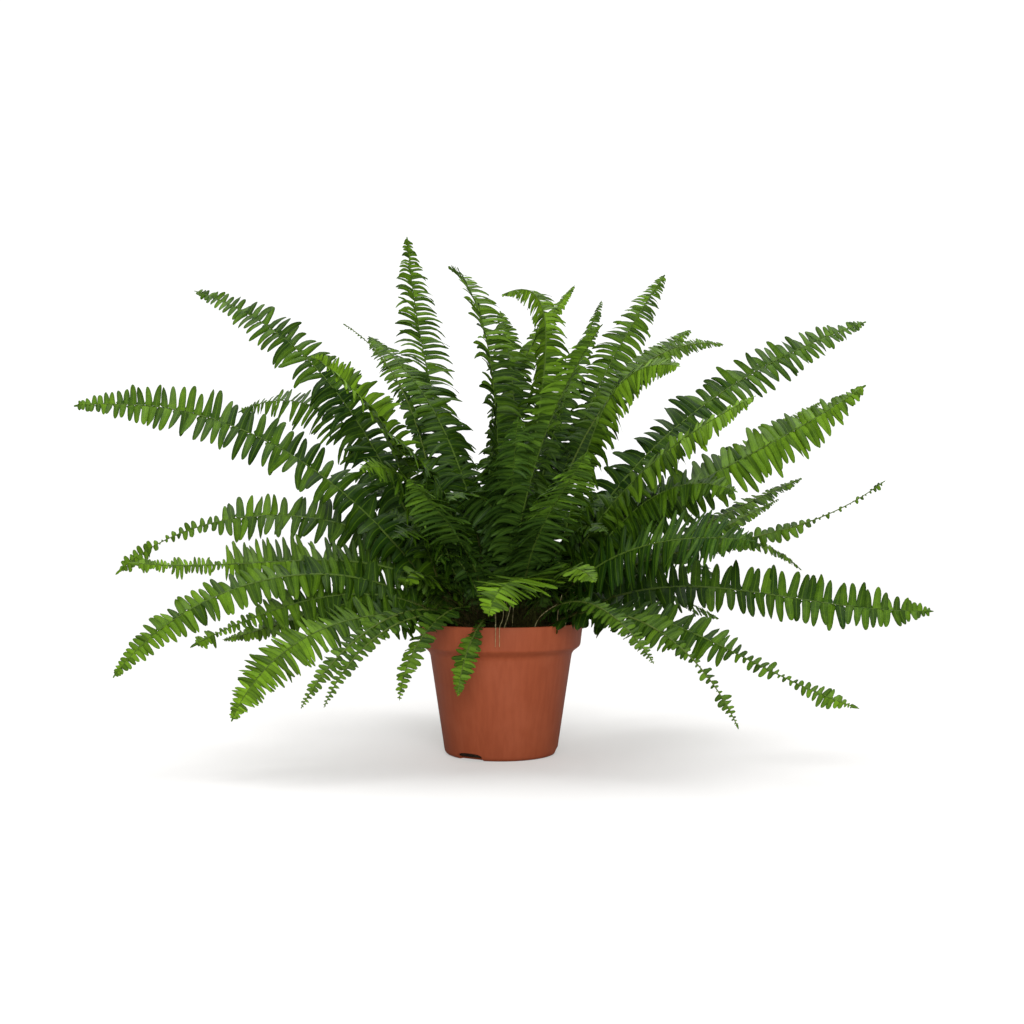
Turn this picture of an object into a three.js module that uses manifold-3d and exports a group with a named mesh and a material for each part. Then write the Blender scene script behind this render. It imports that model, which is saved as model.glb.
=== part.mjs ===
// Potted sword fern: a plastic nursery pot, the potting soil that fills it, and a crown of fronds.
// Millimetres, +Z up. The origin is the middle of the pot's flat underside, the front is -Y.
import * as THREE from "three";
import { mergeVertices } from "three/addons/utils/BufferGeometryUtils.js";
import Module from "manifold-3d";

// ---- Pot ----
const POT_HEIGHT = 112;
const RIM_RADIUS = 70;
const LIP_ROUND = 1;
const BAND_FOOT_RADIUS = 67.5;
const BAND_HEIGHT = 20;
const CHAMFER_HEIGHT = 5.5;
const SHOULDER_RADIUS = 60.5;
const FOOT_RADIUS = 48.2;
const FOOT_ROUND = 4.5;
const WALL = 1.8;
const FLOOR = 2.5;
const POT_SIDES = 60;
const SLOT_ANGLES = [237, 357, 117];
const SLOT_WIDTH = 20;
const SLOT_HEIGHT = 5.2;
const SLOT_REACH = 41;

// ---- Soil ----
const GAP = 0.35;
const SOIL_EDGE = 100;
const SOIL_TOP = 103;
const CROWN_RADIUS = 55;
const CROWN_REACH = 46;
const SOIL_SIDES = 40;

// ---- Fronds ----
const ROOT_DEPTH = 12;
const COLLAR = 3;
const SEATS = 112;
const SEAT_PITCH = 4.8;
const GOLDEN_ANGLE = 137.5;
const RIB_BASE = 2.6;
const RIB_TIP = 1.0;
const RIB_FLATNESS = 0.85;
const BARE_STALK = 20;
const LEAFLET_PITCH = 23;
const FEWEST_PAIRS = 7;
const LEAFLET_THICKNESS = 0.7;
const LEAFLET_LEAN = 0.08;
const FIRST_LEAFLET = 0.72;
const SWELL = 0.22;
const TAPER = 0.36;
const BLUNT_TAPER = 0.16;
const TAPER_POWER = 0.8;
const TIP_MARGIN = 0.02;
const TAIL_LEAFLET = 0.3;
const NARROW_LEAF = 14;
const CURVE_HANDLE = 0.38;
const STALK_STEPS = 3;

// The turns and lengths that a leaflet tries, in this order, until it clears what is already there.
const FOLD_TRIES = [0, 12, -12, 24, -24, 36, -36, 50, -50, 65, -65];
const LENGTH_TRIES = [1, 0.75, 0.5, 0.3];
const LEAFLET_CLEARANCE = 2.1;
const RIM_CLEARANCE = 5;
const SAMPLE_PITCH = 3.4;

// One row for each frond. Azimuth: where its tip points, 0 is right, 90 away from the front, 180 left.
// Reach and rise: the tip's distance from the pot's axis and height above the table.
// Launch and droop: how steeply the stalk leaves the soil and the tip ends, in degrees above level.
// Sweep: how far the frond turns sideways on its way. Roll: the blade's turn about its rib, and twist
// what the tip adds to it. Fold: how far both rows of leaflets are folded up. Leaf: the longest leaflets.
// Tail: the share of the blade at its tip that has only small ones.
//  azimuth reach rise launch droop sweep roll twist fold leaf tail
const FRONDS = [
  // The left side, from the top down.
  [150, 164, 375, 66, 30, 0, -20, 0, -10, 10, 0.3],
  [175, 264, 396, 63, 19, 0, -45, 0, 4, 28, 0],
  [165, 241, 296, 66, -23, 0, -45, 0, -15, 29, 0],
  [215, 176, 325, 57, 27, 0, -45, 0, 25, 30, 0],
  [193, 345, 290, 57, -6, 0, -38, -22, 4, 28, 0],
  [196, 298, 164, 62, 6, 0, -50, 0, -10, 29, 0.22],
  [182, 320, 157, 71, -42, 0, -50, 0, 0, 25, 0.26],
  [205, 321, 82, 46, -52, 0, -45, 0, -10, 21, 0],
  [190, 231, 100, 42, -12, 0, -40, 0, -10, 13, 0],
  [202, 256, 102, 42, -26, 0, -45, 0, -10, 23, 0.26],
  [215, 245, 50, 27, -64, 0, -35, 0, -10, 23, 0],
  [229, 221, 62, 40, -52, 0, -30, 0, -10, 12, 0],
  [232, 209, 62, 34, -58, 0, -30, 0, -10, 9, 0],
  [205, 165, 120, 44, -30, 0, -40, 0, -10, 22, 0],
  // The back, from left to right.
  [135, 175, 369, 84, 29, 0, -15, 0, -10, 27, 0],
  [115, 224, 475, 74, 77, 0, 15, 0, 15, 31, 0],
  [108, 162, 438, 82, 22, 8, 30, 0, 28, 28, 0],
  [90.5, 140, 394, 80, 55, 18, 0, 0, -10, 24, 0],
  [88.7, 80, 403, 86, -12, 45, -20, 0, -40, 23, 0],
  [66, 168, 421, 76, 49, -45, 0, 0, -10, 15, 0],
  [54, 159, 403, 80, 55, 0, 10, 0, -10, 14, 0],
  [45, 219, 431, 74, 46, 0, 40, 0, -10, 24, 0],
  [48, 279, 386, 80, 25, 0, 40, 0, -10, 16, 0],
  // The right side, from the top down.
  [30, 238, 362, 80, -3, 0, 45, 0, -10, 12, 0],
  [320, 178, 318, 54, -12, 0, 50, 0, -20, 27, 0],
  [8, 322, 372, 67, 20, 0, 45, 0, 0, 28, 0],
  [22, 325, 309, 46, 28, 0, 40, 0, -10, 12, 0],
  [335, 219, 295, 65, 25, 0, 40, 0, -10, 26, 0],
  [350, 299, 306, 59, 35, 0, 50, 0, -10, 31, 0],
  [20, 294, 236, 38, 20, 10, 30, 0, -10, 12, 0],
  [8, 245, 216, 36, 25, 10, 30, 0, -10, 10, 0],
  [345, 314, 228, 54, 38, 0, 40, 0, -10, 12, 0.2],
  [320, 243, 184, 54, -5, 0, 50, 0, -5, 32, 0],
  [354, 356, 123, 37, 1, 0, 55, 0, 8, 26, 0],
  [15, 280, 153, 38, -42, 0, 35, 0, -10, 10, 0],
  [328, 306, 62, 30, -15, 0, 45, 0, -10, 23, 0.4],
  [310, 263, 54, 30, -56, 0, 40, 0, -10, 12, 0.35],
  [300, 221, 97, 42, -40, 0, 30, 0, -10, 11, 0],
  [33, 243, 105, 34, -25, 0, 30, 0, -10, 16, 0],
  // The front.
  [295, 177, 342, 80, 30, 0, 28, 0, 28, 27, 0],
  [266.4, 128, 128, 44, -77, -95, 0, 0, -10, 20, 0],
  [254, 118, 64, 62, -78, -10, 0, 0, -10, 11, 0],
  [241, 156, 64, 72, -82, 0, 0, 0, -10, 12, 0],
  [242, 145, 230, 76, 30, 0, 0, 0, -10, 24, 0],
  [288, 200, 246, 75, 30, 0, 0, 0, -10, 24, 0],
  [218, 98, 145, 74, -84, 0, 0, 0, -10, 18, 0],
  [300, 145, 152, 55, -35, 0, 20, 0, -10, 12, 0],
  [226, 134, 270, 72, 20, 0, -20, 0, -10, 26, 0],
  [224, 149, 239, 68, -12, 0, -40, 0, -10, 26, 0],
  [335, 204, 222, 52, -22, 0, 40, 0, -10, 26, 0],
  [278, 101, 277, 84, 50, 0, 0, 0, -10, 24, 0],
  // Hidden behind the others.
  [70, 300, 200, 50, -30, 0, 0, 0, -10, 26, 0],
  [92, 330, 160, 45, -40, 0, 0, 0, -10, 28, 0],
  [112, 300, 220, 55, -25, 0, 0, 0, -10, 26, 0],
  [100, 280, 80, 28, -45, 0, 0, 0, -10, 24, 0],
  [125, 300, 130, 40, -40, 0, 0, 0, -10, 26, 0],
  [44, 300, 130, 38, -38, 0, 0, 0, -10, 26, 0],
  [142, 200, 240, 55, -10, -10, 0, 0, -10, 26, 0],
];

// Short shoots fill the crown. Each grows from the foot of a frond above, given by its number.
//  foot azimuth reach rise launch droop roll leaf
const SHOOTS = [
  [41, 242, 85, 215, 84, -30, 0, 24],
  [45, 298, 95, 205, 82, -35, 0, 24],
  [47, 320, 110, 190, 70, -30, 15, 24],
  [46, 220, 110, 185, 72, -30, -15, 24],
  [4, 180, 105, 200, 70, -25, -20, 24],
  [50, 0, 105, 215, 70, -20, 20, 24],
  [51, 265, 60, 250, 86, 20, 0, 22],
  [42, 230, 80, 165, 72, -55, 0, 20],
  [38, 306, 85, 160, 77, -55, 0, 20],
  [58, 158, 90, 260, 76, 30, 0, 24],
  [24, 30, 100, 265, 76, 30, 0, 24],
  [53, 90, 80, 230, 76, 0, 0, 24],
];
const SHOOT_FOLD = -10;

const WORLD_UP = new THREE.Vector3(0, 0, 1);
const radians = THREE.MathUtils.degToRad;
const lerp = THREE.MathUtils.lerp;

// A horizontal unit vector at an azimuth, tilted up by an elevation.
function heading(azimuth, elevation = 0) {
  const level = Math.cos(radians(elevation));
  return new THREE.Vector3(
    Math.cos(radians(azimuth)) * level,
    Math.sin(radians(azimuth)) * level,
    Math.sin(radians(elevation)),
  );
}

const wasm = await Module();
wasm.setup();

// A closed geometry as a solid that can be cut.
function solidOf(geometry) {
  const bare = geometry.clone();
  bare.deleteAttribute("normal");
  bare.deleteAttribute("uv");
  const merged = mergeVertices(bare, 1e-4);
  return new wasm.Manifold(
    new wasm.Mesh({
      numProp: 3,
      vertProperties: new Float32Array(merged.attributes.position.array),
      triVerts: new Uint32Array(merged.index.array),
    }),
  );
}

function geometryOf(solid) {
  const { vertProperties, triVerts } = solid.getMesh();
  const geometry = new THREE.BufferGeometry();
  geometry.setAttribute("position", new THREE.BufferAttribute(new Float32Array(vertProperties), 3));
  geometry.setIndex(new THREE.BufferAttribute(new Uint32Array(triVerts), 1));
  return geometry;
}

// One geometry, or several that meet, as one body.
function joined([first, ...others]) {
  if (!others.length) return first;
  return geometryOf(others.reduce((solid, other) => solid.add(solidOf(other)), solidOf(first)));
}

// A profile of [radius, height] pairs turned about +Z.
function turned(profile, sides) {
  const points = profile.map(([radius, height]) => new THREE.Vector2(radius, height));
  return new THREE.LatheGeometry(points, sides).rotateX(Math.PI / 2);
}

// ---- Pot ----
const shoulderHeight = POT_HEIGHT - BAND_HEIGHT - CHAMFER_HEIGHT;
const bandFoot = POT_HEIGHT - BAND_HEIGHT;
const wallSlope = (SHOULDER_RADIUS - FOOT_RADIUS) / (shoulderHeight - FOOT_ROUND);

// The pot's inner radius at the height of the floor, at the shoulder and in the band.
const floorRadius = FOOT_RADIUS - WALL - wallSlope * (FOOT_ROUND - FLOOR);
const innerShoulder = SHOULDER_RADIUS - WALL;
const innerBand = BAND_FOOT_RADIUS - WALL;

function potGeometry() {
  const corner = FOOT_ROUND * (1 - Math.SQRT1_2);
  const profile = [
    [0, 0],
    [FOOT_RADIUS - FOOT_ROUND, 0],
    [FOOT_RADIUS - corner, corner],
    [FOOT_RADIUS, FOOT_ROUND],
    [SHOULDER_RADIUS, shoulderHeight],
    [BAND_FOOT_RADIUS, bandFoot],
    [RIM_RADIUS, POT_HEIGHT - LIP_ROUND],
    [RIM_RADIUS - LIP_ROUND, POT_HEIGHT],
    [RIM_RADIUS - WALL - LIP_ROUND / 2, POT_HEIGHT],
    [innerBand, bandFoot + WALL / 2],
    [innerShoulder, shoulderHeight + WALL / 2],
    [floorRadius, FLOOR],
    [0, FLOOR],
  ];
  let pot = solidOf(turned(profile, POT_SIDES));
  const slotDepth = RIM_RADIUS - SLOT_REACH;
  for (const angle of SLOT_ANGLES) {
    const slot = new THREE.BoxGeometry(slotDepth, SLOT_WIDTH, 2 * SLOT_HEIGHT)
      .translate(SLOT_REACH + slotDepth / 2, 0, 0)
      .rotateZ(radians(angle));
    pot = pot.subtract(solidOf(slot));
  }
  return geometryOf(pot);
}

// ---- Fronds ----
// Each stalk stands on a seat of a sunflower spiral. The steepest fronds choose first and so stand in
// the middle: each takes the free seat nearest to the place that it would lean out from.
function seatFronds(fronds) {
  const free = [];
  for (let n = 1; n <= SEATS; n++) {
    free.push(heading(n * GOLDEN_ANGLE).multiplyScalar(SEAT_PITCH * Math.sqrt(n - 0.5)));
  }
  for (const frond of [...fronds].sort((a, b) => b.launch - a.launch)) {
    const distance = CROWN_REACH * Math.sqrt(Math.cos(radians(frond.launch)));
    const wish = heading(frond.azimuth - frond.sweep).multiplyScalar(distance);
    free.sort((a, b) => a.distanceTo(wish) - b.distanceTo(wish));
    frond.root = free.shift().setZ(SOIL_TOP + COLLAR);
  }
}

// The rib's line, from just above the soil to the tip: a cubic with its two end directions given.
function ribCurve({ root, azimuth, reach, rise, launch, droop, sweep }) {
  const tip = heading(azimuth).multiplyScalar(reach).setZ(rise);
  const handle = root.distanceTo(tip) * CURVE_HANDLE;
  const out = heading(azimuth - sweep, launch).multiplyScalar(handle);
  const back = heading(azimuth + sweep, droop).multiplyScalar(-handle);
  return new THREE.CubicBezierCurve3(root, root.clone().add(out), tip.clone().add(back), tip);
}

// Leaflet length as a share of the longest, along the leafy part from 0 at its start to 1 at the tip:
// it swells from the first leaflets and tapers to the tip, or more bluntly to the tail, in a quarter of a
// sine wave.
function envelope(share, tail) {
  const swell = lerp(FIRST_LEAFLET, 1, THREE.MathUtils.smoothstep(share, 0, SWELL));
  const left = (1 + TIP_MARGIN - share / (1 - tail)) / (tail > 0 ? BLUNT_TAPER : TAPER);
  const taper = Math.sin((Math.PI / 2) * Math.min(1, Math.max(0, left)));
  return swell * Math.max(Math.pow(taper, TAPER_POWER), tail > 0 ? TAIL_LEAFLET : 0);
}

// A station on the rib: its place, the directions along, across and out of the blade, and half sizes.
function station(curve, share, frond) {
  const place = curve.getPointAt(share);
  const along = curve.getTangentAt(share);
  const side = heading(frond.azimuth + 90);
  const level = side.addScaledVector(along, -side.dot(along)).normalize();
  const across = level.applyAxisAngle(along, radians(frond.roll + frond.twist * share));
  const up = along.clone().cross(across);
  const halfWidth = lerp(RIB_BASE, RIB_TIP, share) / 2;
  return { place, along, across, up, halfWidth, halfHeight: halfWidth * RIB_FLATNESS };
}

function frondPlan(frond) {
  const curve = ribCurve(frond);
  const length = curve.getLength();
  const pairs = Math.max(FEWEST_PAIRS, Math.round((length - BARE_STALK) / LEAFLET_PITCH));
  const shares = [];
  for (let n = 0; n < STALK_STEPS; n++) shares.push((n * BARE_STALK) / STALK_STEPS / length);
  for (let n = 0; n <= pairs; n++) shares.push(lerp(BARE_STALK / length, 1, n / pairs));
  const stations = shares.map((share) => station(curve, share, frond));
  if (frond.foot) return { frond, stations, leafFrom: STALK_STEPS, pairs };
  const underground = { ...stations[0], place: frond.root.clone().setZ(SOIL_TOP - ROOT_DEPTH) };
  underground.along = WORLD_UP.clone();
  underground.across = heading(frond.azimuth + 90);
  underground.up = underground.along.clone().cross(underground.across);
  return { frond, stations: [underground, ...stations], leafFrom: STALK_STEPS + 1, pairs };
}

// A leaflet's tip: out from the middle of its stretch of rib, leaning forward, folded up or down.
function leafletTip(plan, n, side, fold, stretch) {
  const { frond, stations, leafFrom, pairs } = plan;
  const [from, to] = [stations[n], stations[n + 1]];
  const length = frond.leaf * envelope((n - leafFrom + 0.5) / pairs, frond.tail) * stretch;
  const angle = radians(frond.fold + fold);
  return from.place
    .clone()
    .add(to.place)
    .multiplyScalar(0.5)
    .addScaledVector(from.across, side * length * Math.cos(angle))
    .addScaledVector(from.up, length * Math.sin(angle))
    .addScaledVector(from.along, length * LEAFLET_LEAN);
}

// Points spread over a triangle, about SAMPLE_PITCH apart.
function samples({ a, b, c }) {
  const points = [];
  const rows = Math.ceil(Math.max(a.distanceTo(c), b.distanceTo(c)) / SAMPLE_PITCH);
  for (let i = 0; i <= rows; i++) {
    const left = a.clone().lerp(c, i / rows);
    const right = b.clone().lerp(c, i / rows);
    const columns = Math.max(1, Math.ceil(left.distanceTo(right) / SAMPLE_PITCH));
    for (let j = 0; j <= columns; j++) points.push(left.clone().lerp(right, j / columns));
  }
  return points;
}

function obstacleOf(triangle, owner) {
  const middle = triangle.getMidpoint(new THREE.Vector3());
  const radius = Math.max(...[triangle.a, triangle.b, triangle.c].map((p) => p.distanceTo(middle)));
  return { triangle, owner, middle, radius, points: samples(triangle) };
}

const nearest = new THREE.Vector3();
function near(points, triangle) {
  return points.some((p) => triangle.closestPointToPoint(p, nearest).distanceTo(p) < LEAFLET_CLEARANCE);
}

function blocked(trial, obstacles) {
  if (trial.points.some(insidePot)) return true;
  return obstacles.some(
    (other) =>
      other.owner !== trial.owner &&
      other.middle.distanceTo(trial.middle) < other.radius + trial.radius + LEAFLET_CLEARANCE &&
      (near(trial.points, other.triangle) || near(other.points, trial.triangle)),
  );
}

// Whether a point lies in or too near the pot or the soil.
function insidePot(point) {
  const radius = Math.hypot(point.x, point.y);
  if (point.z > POT_HEIGHT + LEAFLET_CLEARANCE) return false;
  if (point.z > SOIL_TOP + LEAFLET_CLEARANCE) return Math.abs(radius - RIM_RADIUS) < RIM_CLEARANCE;
  const height = Math.min(1, Math.max(0, point.z / shoulderHeight));
  const wall = point.z > shoulderHeight ? RIM_RADIUS : lerp(FOOT_RADIUS, SHOULDER_RADIUS, height);
  return radius < wall + LEAFLET_CLEARANCE;
}

// Two thin triangles stand for each stretch of rib, one across the blade and one through it.
function ribObstacles(plan, owner) {
  const found = [];
  for (let n = 0; n + 1 < plan.stations.length; n++) {
    const [from, to] = [plan.stations[n], plan.stations[n + 1]];
    const wide = from.place.clone().addScaledVector(from.across, from.halfWidth);
    const high = from.place.clone().addScaledVector(from.up, from.halfHeight);
    found.push(obstacleOf(new THREE.Triangle(from.place, wide, to.place), owner));
    found.push(obstacleOf(new THREE.Triangle(from.place, high, to.place), owner));
  }
  return found;
}

// The first trial that clears everything: the least shortening, and at that length the least turn.
function firstClear(plan, n, side, owner, obstacles) {
  const { stations } = plan;
  for (const stretch of LENGTH_TRIES) {
    for (const fold of FOLD_TRIES) {
      const tip = leafletTip(plan, n, side, fold, stretch);
      const trial = obstacleOf(new THREE.Triangle(stations[n].place, stations[n + 1].place, tip), owner);
      if (!blocked(trial, obstacles)) return { tip, trial };
    }
  }
  return null;
}

function growLeaflets(plan, owner, obstacles) {
  plan.tips = { 1: [], [-1]: [] };
  for (let n = plan.leafFrom; n + 1 < plan.stations.length; n++) {
    for (const side of [1, -1]) {
      const found = firstClear(plan, n, side, owner, obstacles);
      if (!found) continue;
      obstacles.push(found.trial);
      plan.tips[side][n] = found.tip;
    }
  }
}

// One closed mesh: the rib is a bar with four corners at each station, and each leaflet is a thin
// wedge that takes the place of the bar's side wall along its stretch.
function frondGeometry({ stations, tips }) {
  const triangles = [];
  const triangle = (...points) => triangles.push(...points);
  const quad = (a, b, c, d) => triangle(a, b, c, a, c, d);
  const corner = (s, side, rise) =>
    s.place
      .clone()
      .addScaledVector(s.across, side * s.halfWidth)
      .addScaledVector(s.up, rise * s.halfHeight);
  const rings = stations.map((s) => ({
    leftTop: corner(s, 1, 1),
    leftLow: corner(s, 1, -1),
    rightTop: corner(s, -1, 1),
    rightLow: corner(s, -1, -1),
  }));
  const leaflet = (tip, up, topA, topB, lowA, lowB) => {
    const top = tip.clone().addScaledVector(up, LEAFLET_THICKNESS / 2);
    const low = tip.clone().addScaledVector(up, -LEAFLET_THICKNESS / 2);
    triangle(topA, topB, top);
    triangle(lowB, lowA, low);
    quad(topA, top, low, lowA);
    quad(top, topB, lowB, low);
  };
  for (let n = 0; n + 1 < rings.length; n++) {
    const [a, b] = [rings[n], rings[n + 1]];
    const up = stations[n].up;
    quad(a.rightTop, b.rightTop, b.leftTop, a.leftTop);
    quad(a.leftLow, b.leftLow, b.rightLow, a.rightLow);
    if (tips[1][n]) leaflet(tips[1][n], up, a.leftTop, b.leftTop, a.leftLow, b.leftLow);
    else quad(a.leftTop, b.leftTop, b.leftLow, a.leftLow);
    if (tips[-1][n]) leaflet(tips[-1][n], up, b.rightTop, a.rightTop, b.rightLow, a.rightLow);
    else quad(a.rightLow, b.rightLow, b.rightTop, a.rightTop);
  }
  const [first, last] = [rings[0], rings[rings.length - 1]];
  quad(first.rightTop, first.leftTop, first.leftLow, first.rightLow);
  quad(last.leftTop, last.rightTop, last.rightLow, last.leftLow);
  return new THREE.BufferGeometry().setFromPoints(triangles);
}

// ---- Soil: it fills the pot, and each stalk stands in a plain square hole. ----
function soilGeometry(fronds) {
  const profile = [
    [0, FLOOR + GAP],
    [floorRadius - GAP, FLOOR + GAP],
    [innerShoulder - GAP, shoulderHeight + WALL / 2 + GAP],
    [innerBand - GAP, bandFoot + WALL / 2 + GAP],
    [innerBand, SOIL_EDGE],
    [CROWN_RADIUS, SOIL_TOP],
    [0, SOIL_TOP],
  ];
  let soil = solidOf(turned(profile, SOIL_SIDES));
  const hole = RIB_BASE + 2 * GAP;
  for (const { azimuth, root } of fronds) {
    const cut = new THREE.BoxGeometry(hole, hole, 2 * (ROOT_DEPTH + GAP))
      .rotateZ(radians(azimuth))
      .translate(root.x, root.y, SOIL_TOP);
    soil = soil.subtract(solidOf(cut));
  }
  return geometryOf(soil);
}

// ---- The plant ----
const potPlastic = new THREE.MeshStandardMaterial({ color: 0x9a4f33, roughness: 0.55, metalness: 0 });
const pottingSoil = new THREE.MeshStandardMaterial({ color: 0x2b2019, roughness: 0.95, metalness: 0 });
const leafGreen = new THREE.MeshStandardMaterial({ color: 0x3f7d22, roughness: 0.6, metalness: 0 });
const youngGreen = new THREE.MeshStandardMaterial({ color: 0x4f7a3a, roughness: 0.6, metalness: 0 });

const plant = new THREE.Group();

function addPart(name, geometry, material) {
  const mesh = new THREE.Mesh(geometry, material);
  mesh.name = name;
  plant.add(mesh);
}

const fronds = FRONDS.map(([azimuth, reach, rise, launch, droop, sweep, roll, twist, fold, leaf, tail]) => ({
  azimuth, reach, rise, launch, droop, sweep, roll, twist, fold, leaf, tail,
}));
seatFronds(fronds);
const shoots = SHOOTS.map(([foot, azimuth, reach, rise, launch, droop, roll, leaf]) => ({
  foot, azimuth, reach, rise, launch, droop, roll, leaf,
  root: fronds[foot - 1].root, sweep: 0, twist: 0, fold: SHOOT_FOLD, tail: 0,
}));
const plans = [...fronds, ...shoots].map(frondPlan);
const obstacles = plans.flatMap(ribObstacles);
plans.forEach((plan, owner) => growLeaflets(plan, owner, obstacles));

addPart("pot", potGeometry(), potPlastic);
addPart("soil", soilGeometry(fronds), pottingSoil);
fronds.forEach((frond, n) => {
  const number = n + 1;
  const grown = plans.filter((plan) => plan.frond === frond || plan.frond.foot === number);
  const name = `frond_${String(number).padStart(2, "0")}`;
  addPart(name, joined(grown.map(frondGeometry)), frond.leaf < NARROW_LEAF ? youngGreen : leafGreen);
});

export default plant;
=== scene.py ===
"""The looks of a potted sword fern, built round its solid model.

The frame is in metres, +Z up, with the origin in the middle of the pot's flat underside and the front
at -Y. Shapes are worked out in millimetres as whole arrays, and turned into metres when they become
meshes.
"""
import math
from itertools import combinations
from types import SimpleNamespace

import bpy
import numpy as np
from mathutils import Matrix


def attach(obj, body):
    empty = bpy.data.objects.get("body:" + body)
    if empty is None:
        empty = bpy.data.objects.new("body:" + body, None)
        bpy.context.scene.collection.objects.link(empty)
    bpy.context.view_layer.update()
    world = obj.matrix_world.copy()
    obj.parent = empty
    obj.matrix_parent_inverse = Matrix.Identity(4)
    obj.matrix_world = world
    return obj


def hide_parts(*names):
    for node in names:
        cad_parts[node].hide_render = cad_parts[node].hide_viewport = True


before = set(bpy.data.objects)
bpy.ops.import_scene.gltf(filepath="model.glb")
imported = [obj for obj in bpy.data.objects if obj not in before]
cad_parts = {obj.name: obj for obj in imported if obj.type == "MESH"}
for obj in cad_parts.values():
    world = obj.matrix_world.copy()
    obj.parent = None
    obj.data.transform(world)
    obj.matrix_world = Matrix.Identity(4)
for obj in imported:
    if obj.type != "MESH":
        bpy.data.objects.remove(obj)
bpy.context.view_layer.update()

MM = 0.001
SEED = 14

# ---- Pot ----
POT_HEIGHT = 112
RIM_RADIUS = 70
BAND_FOOT_RADIUS = 67.5
BAND_HEIGHT = 20
CHAMFER_HEIGHT = 5.5
SHOULDER_RADIUS = 60.5
FOOT_RADIUS = 48.2
WALL = 1.8
FLOOR = 2.5
RIM_EXTRA = 0.5
LIP_FILLET = 0.9
FOOT_FILLET = 4.5
SHOULDER_FILLET = 3.2
BAND_FILLET = 1.6
INNER_FILLET = 1
INNER_FOOT_FILLET = 1.5
POT_SIDES = 192
SHARP_ANGLE = 38
SLOT_ANGLES = [237, 357, 117]
SLOT_WIDTH = 24
SLOT_HEIGHT = 6.2
SLOT_REACH = 39
BAND_FOOT = POT_HEIGHT - BAND_HEIGHT
SHOULDER_HEIGHT = BAND_FOOT - CHAMFER_HEIGHT
SLOPE = (SHOULDER_RADIUS - FOOT_RADIUS) / (SHOULDER_HEIGHT - FOOT_FILLET)
INNER_FLOOR_RADIUS = FOOT_RADIUS - WALL - SLOPE * (FOOT_FILLET - FLOOR)

# ---- Soil ----
GAP = 0.35
SOIL_EDGE = 100
SOIL_TOP = 103
CROWN_RADIUS = 55
CROWN_REACH = 46
SOIL_SIDES = 144
SOIL_RINGS = 60
SOIL_DRAFT = 0.6
SOIL_ROUNDING = 1.5
SOIL_RELIEF = 0.9
COARSE_RIPPLE = 14
FINE_RIPPLE = 4
FINE_RELIEF = 0.6
RIPPLE_WAVES = 9
CRUMBS = 1500
SMALLEST_CRUMB = 0.5
CRUMB_RANGE = 2.2

# ---- Fronds ----
ROOT_DEPTH = 12
COLLAR = 3
SEATS = 112
SEAT_PITCH = 4.8
GOLDEN_ANGLE = 137.5
RIB_BASE = 2.4
RIB_TIP = 0.7
BARE_STALK = 20
COARSE_PITCH = 23
FEWEST_PAIRS = 7
LEAFLET_LEAN = 0.08
FIRST_LEAFLET = 0.72
SWELL = 0.22
TAPER = 0.36
BLUNT_TAPER = 0.16
TAPER_POWER = 0.8
TIP_MARGIN = 0.02
TAIL_LEAFLET = 0.3
NARROW_LEAF = 14
CURVE_HANDLE = 0.38
CURVE_STEPS = 200
COARSE_HALF_THICKNESS = 0.35
COARSE_FOLDS = [0, 12, -12, 24, -24, 36, -36, 50, -50, 65, -65]
COARSE_LENGTHS = [1, 0.75, 0.5, 0.3]
SAME_PLACE = 0.05

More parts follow.
